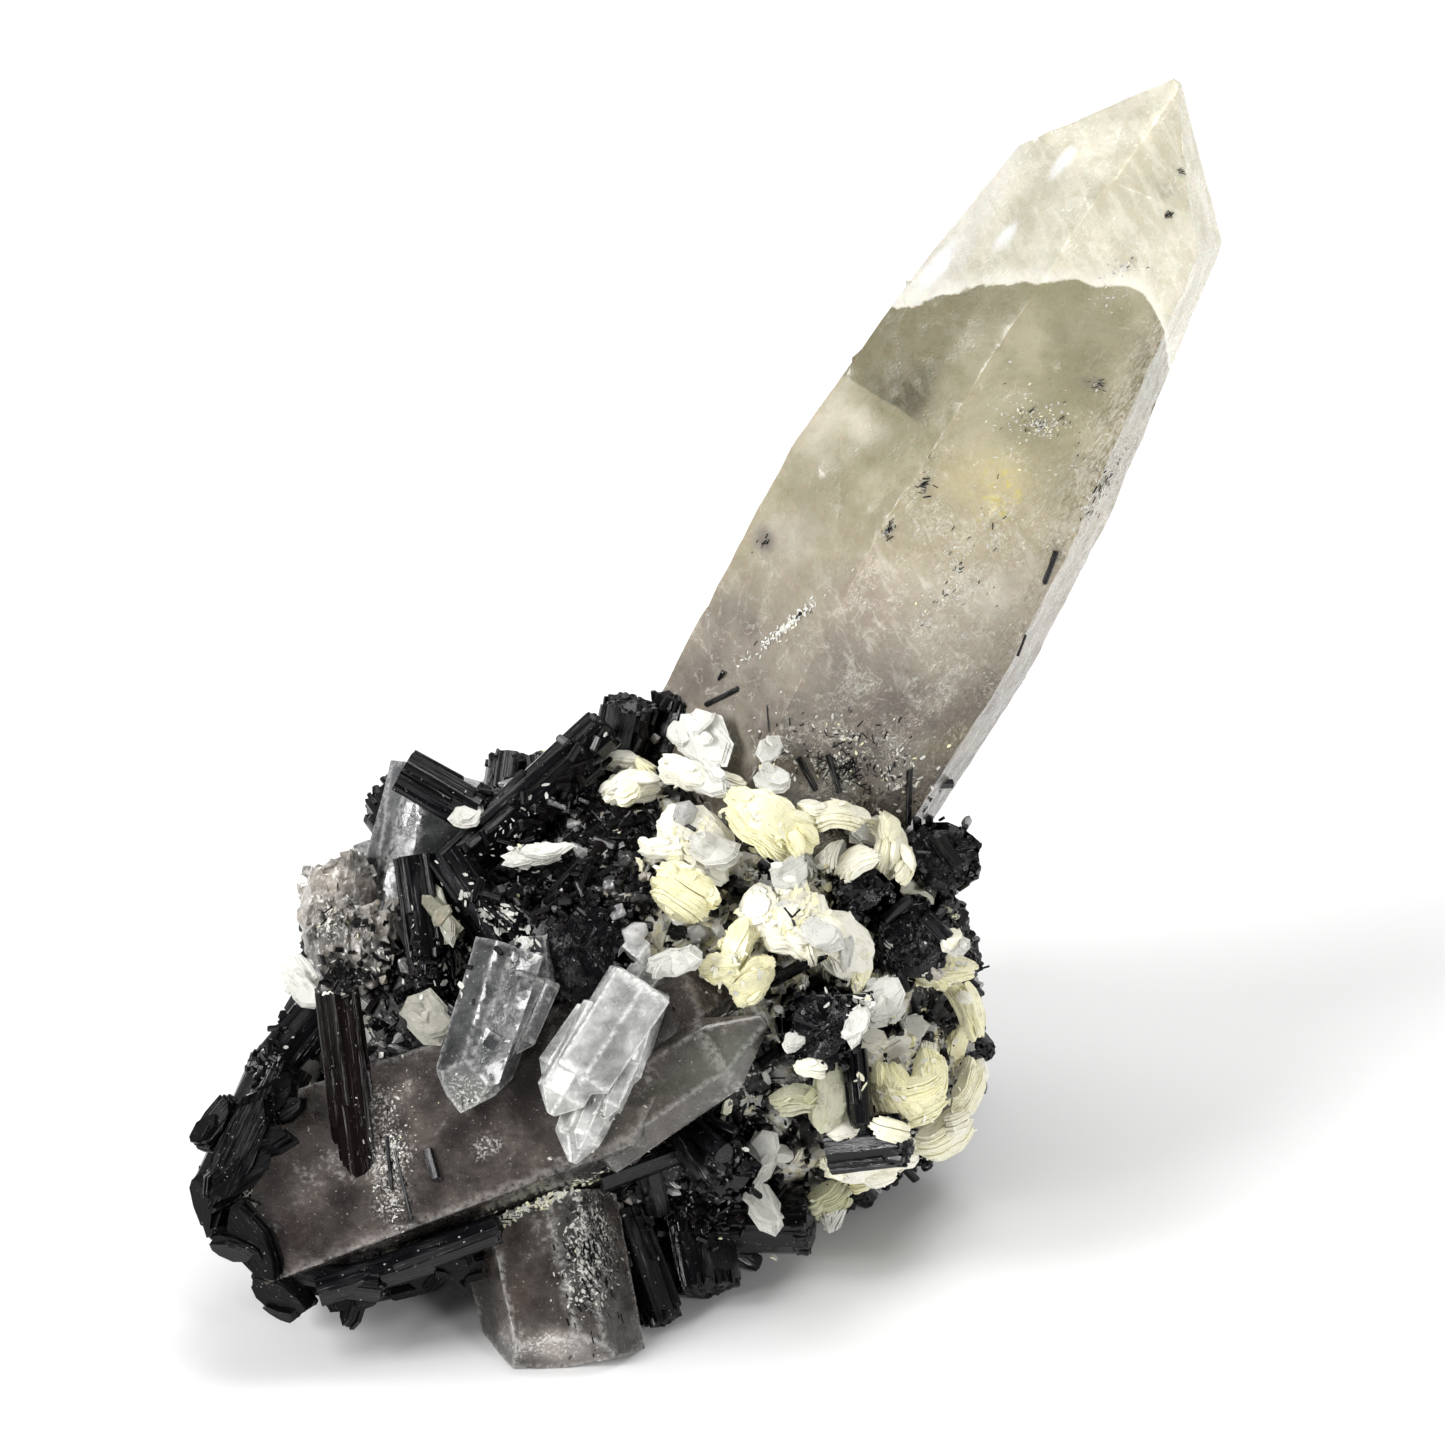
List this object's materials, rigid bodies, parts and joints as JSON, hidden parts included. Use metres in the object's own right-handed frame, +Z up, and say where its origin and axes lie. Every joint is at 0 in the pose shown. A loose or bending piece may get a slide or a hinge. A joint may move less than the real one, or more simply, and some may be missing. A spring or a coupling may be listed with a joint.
{
  "type": "mineral specimen, schorl on smoky quartz",
  "caption": "Smoky quartz point leaning out of a matrix of black schorl prisms, small quartz crystals and pale mica books.",
  "frame": {"origin": "middle of the outer box at the level of the surface that the specimen rests on", "axes": "+Z up, +X to the viewer's right, and the crystal face looks towards -Y, leaning back 30 degrees"},
  "size_m": [0.083, 0.0628, 0.0894],
  "materials": {
    "smoky_point": "glossy, frosted towards the tip",
    "dark_smoky": "glossy",
    "clear_quartz": "glossy",
    "milky_quartz": "rough",
    "schorl": "glossy, striated",
    "cream_mica": "pearly",
    "white_mica": "pearly",
    "matrix": "rough"
  },
  "bodies": {
    "root": {"smoky_quartz_point": "smoky_point", "lying_smoky_quartz": "dark_smoky", "bottom_smoky_quartz": "dark_smoky", "upper_smoky_quartz": "clear_quartz", "milky_quartz": "milky_quartz", "clear_quartz_front": "clear_quartz", "clear_quartz_middle": "clear_quartz", "small_quartz_stub": "clear_quartz", "grey_quartz": "milky_quartz", "back_quartz_tall": "dark_smoky", "back_quartz_short": "clear_quartz", "schorl_base": "schorl", "schorl_bottom_stub": "schorl", "schorl_bottom_cluster": "schorl", "schorl_centre": "schorl", "schorl_right_low": "schorl", "schorl_right_high": "schorl", "schorl_long_blade": "schorl", "schorl_upper_end": "schorl", "schorl_top_crown": "schorl", "schorl_upright": "schorl", "schorl_left_blade": "schorl", "schorl_slanted_pair": "schorl", "schorl_block": "schorl", "schorl_left_end": "schorl", "back_schorl_high": "schorl", "back_schorl_right": "schorl", "back_schorl_low": "schorl", "mica_upper_left": "cream_mica", "mica_white_crown": "white_mica", "mica_white_ledge": "white_mica", "mica_great_book": "cream_mica", "mica_arch": "cream_mica", "mica_right_arch": "cream_mica", "mica_round": "white_mica", "mica_fan": "cream_mica", "mica_yellow_book": "cream_mica", "mica_central_mass": "cream_mica", "mica_yellow_lobes": "cream_mica", "mica_upright_blade": "cream_mica", "mica_right_ledge": "cream_mica", "mica_golden_rosette": "cream_mica", "mica_green_pair": "cream_mica", "mica_right_rim": "cream_mica", "mica_cup": "cream_mica", "mica_low_crescent": "cream_mica", "mica_low_white": "white_mica", "mica_left": "white_mica", "mica_between_blades": "cream_mica", "mica_left_plates": "cream_mica", "mica_white_blade": "white_mica", "mica_white_cradle": "white_mica", "mica_white_plate": "white_mica", "mica_white_tuft": "white_mica", "back_mica_rosette": "cream_mica", "back_mica_left": "cream_mica", "matrix": "matrix"}
  },
  "joints": []
}
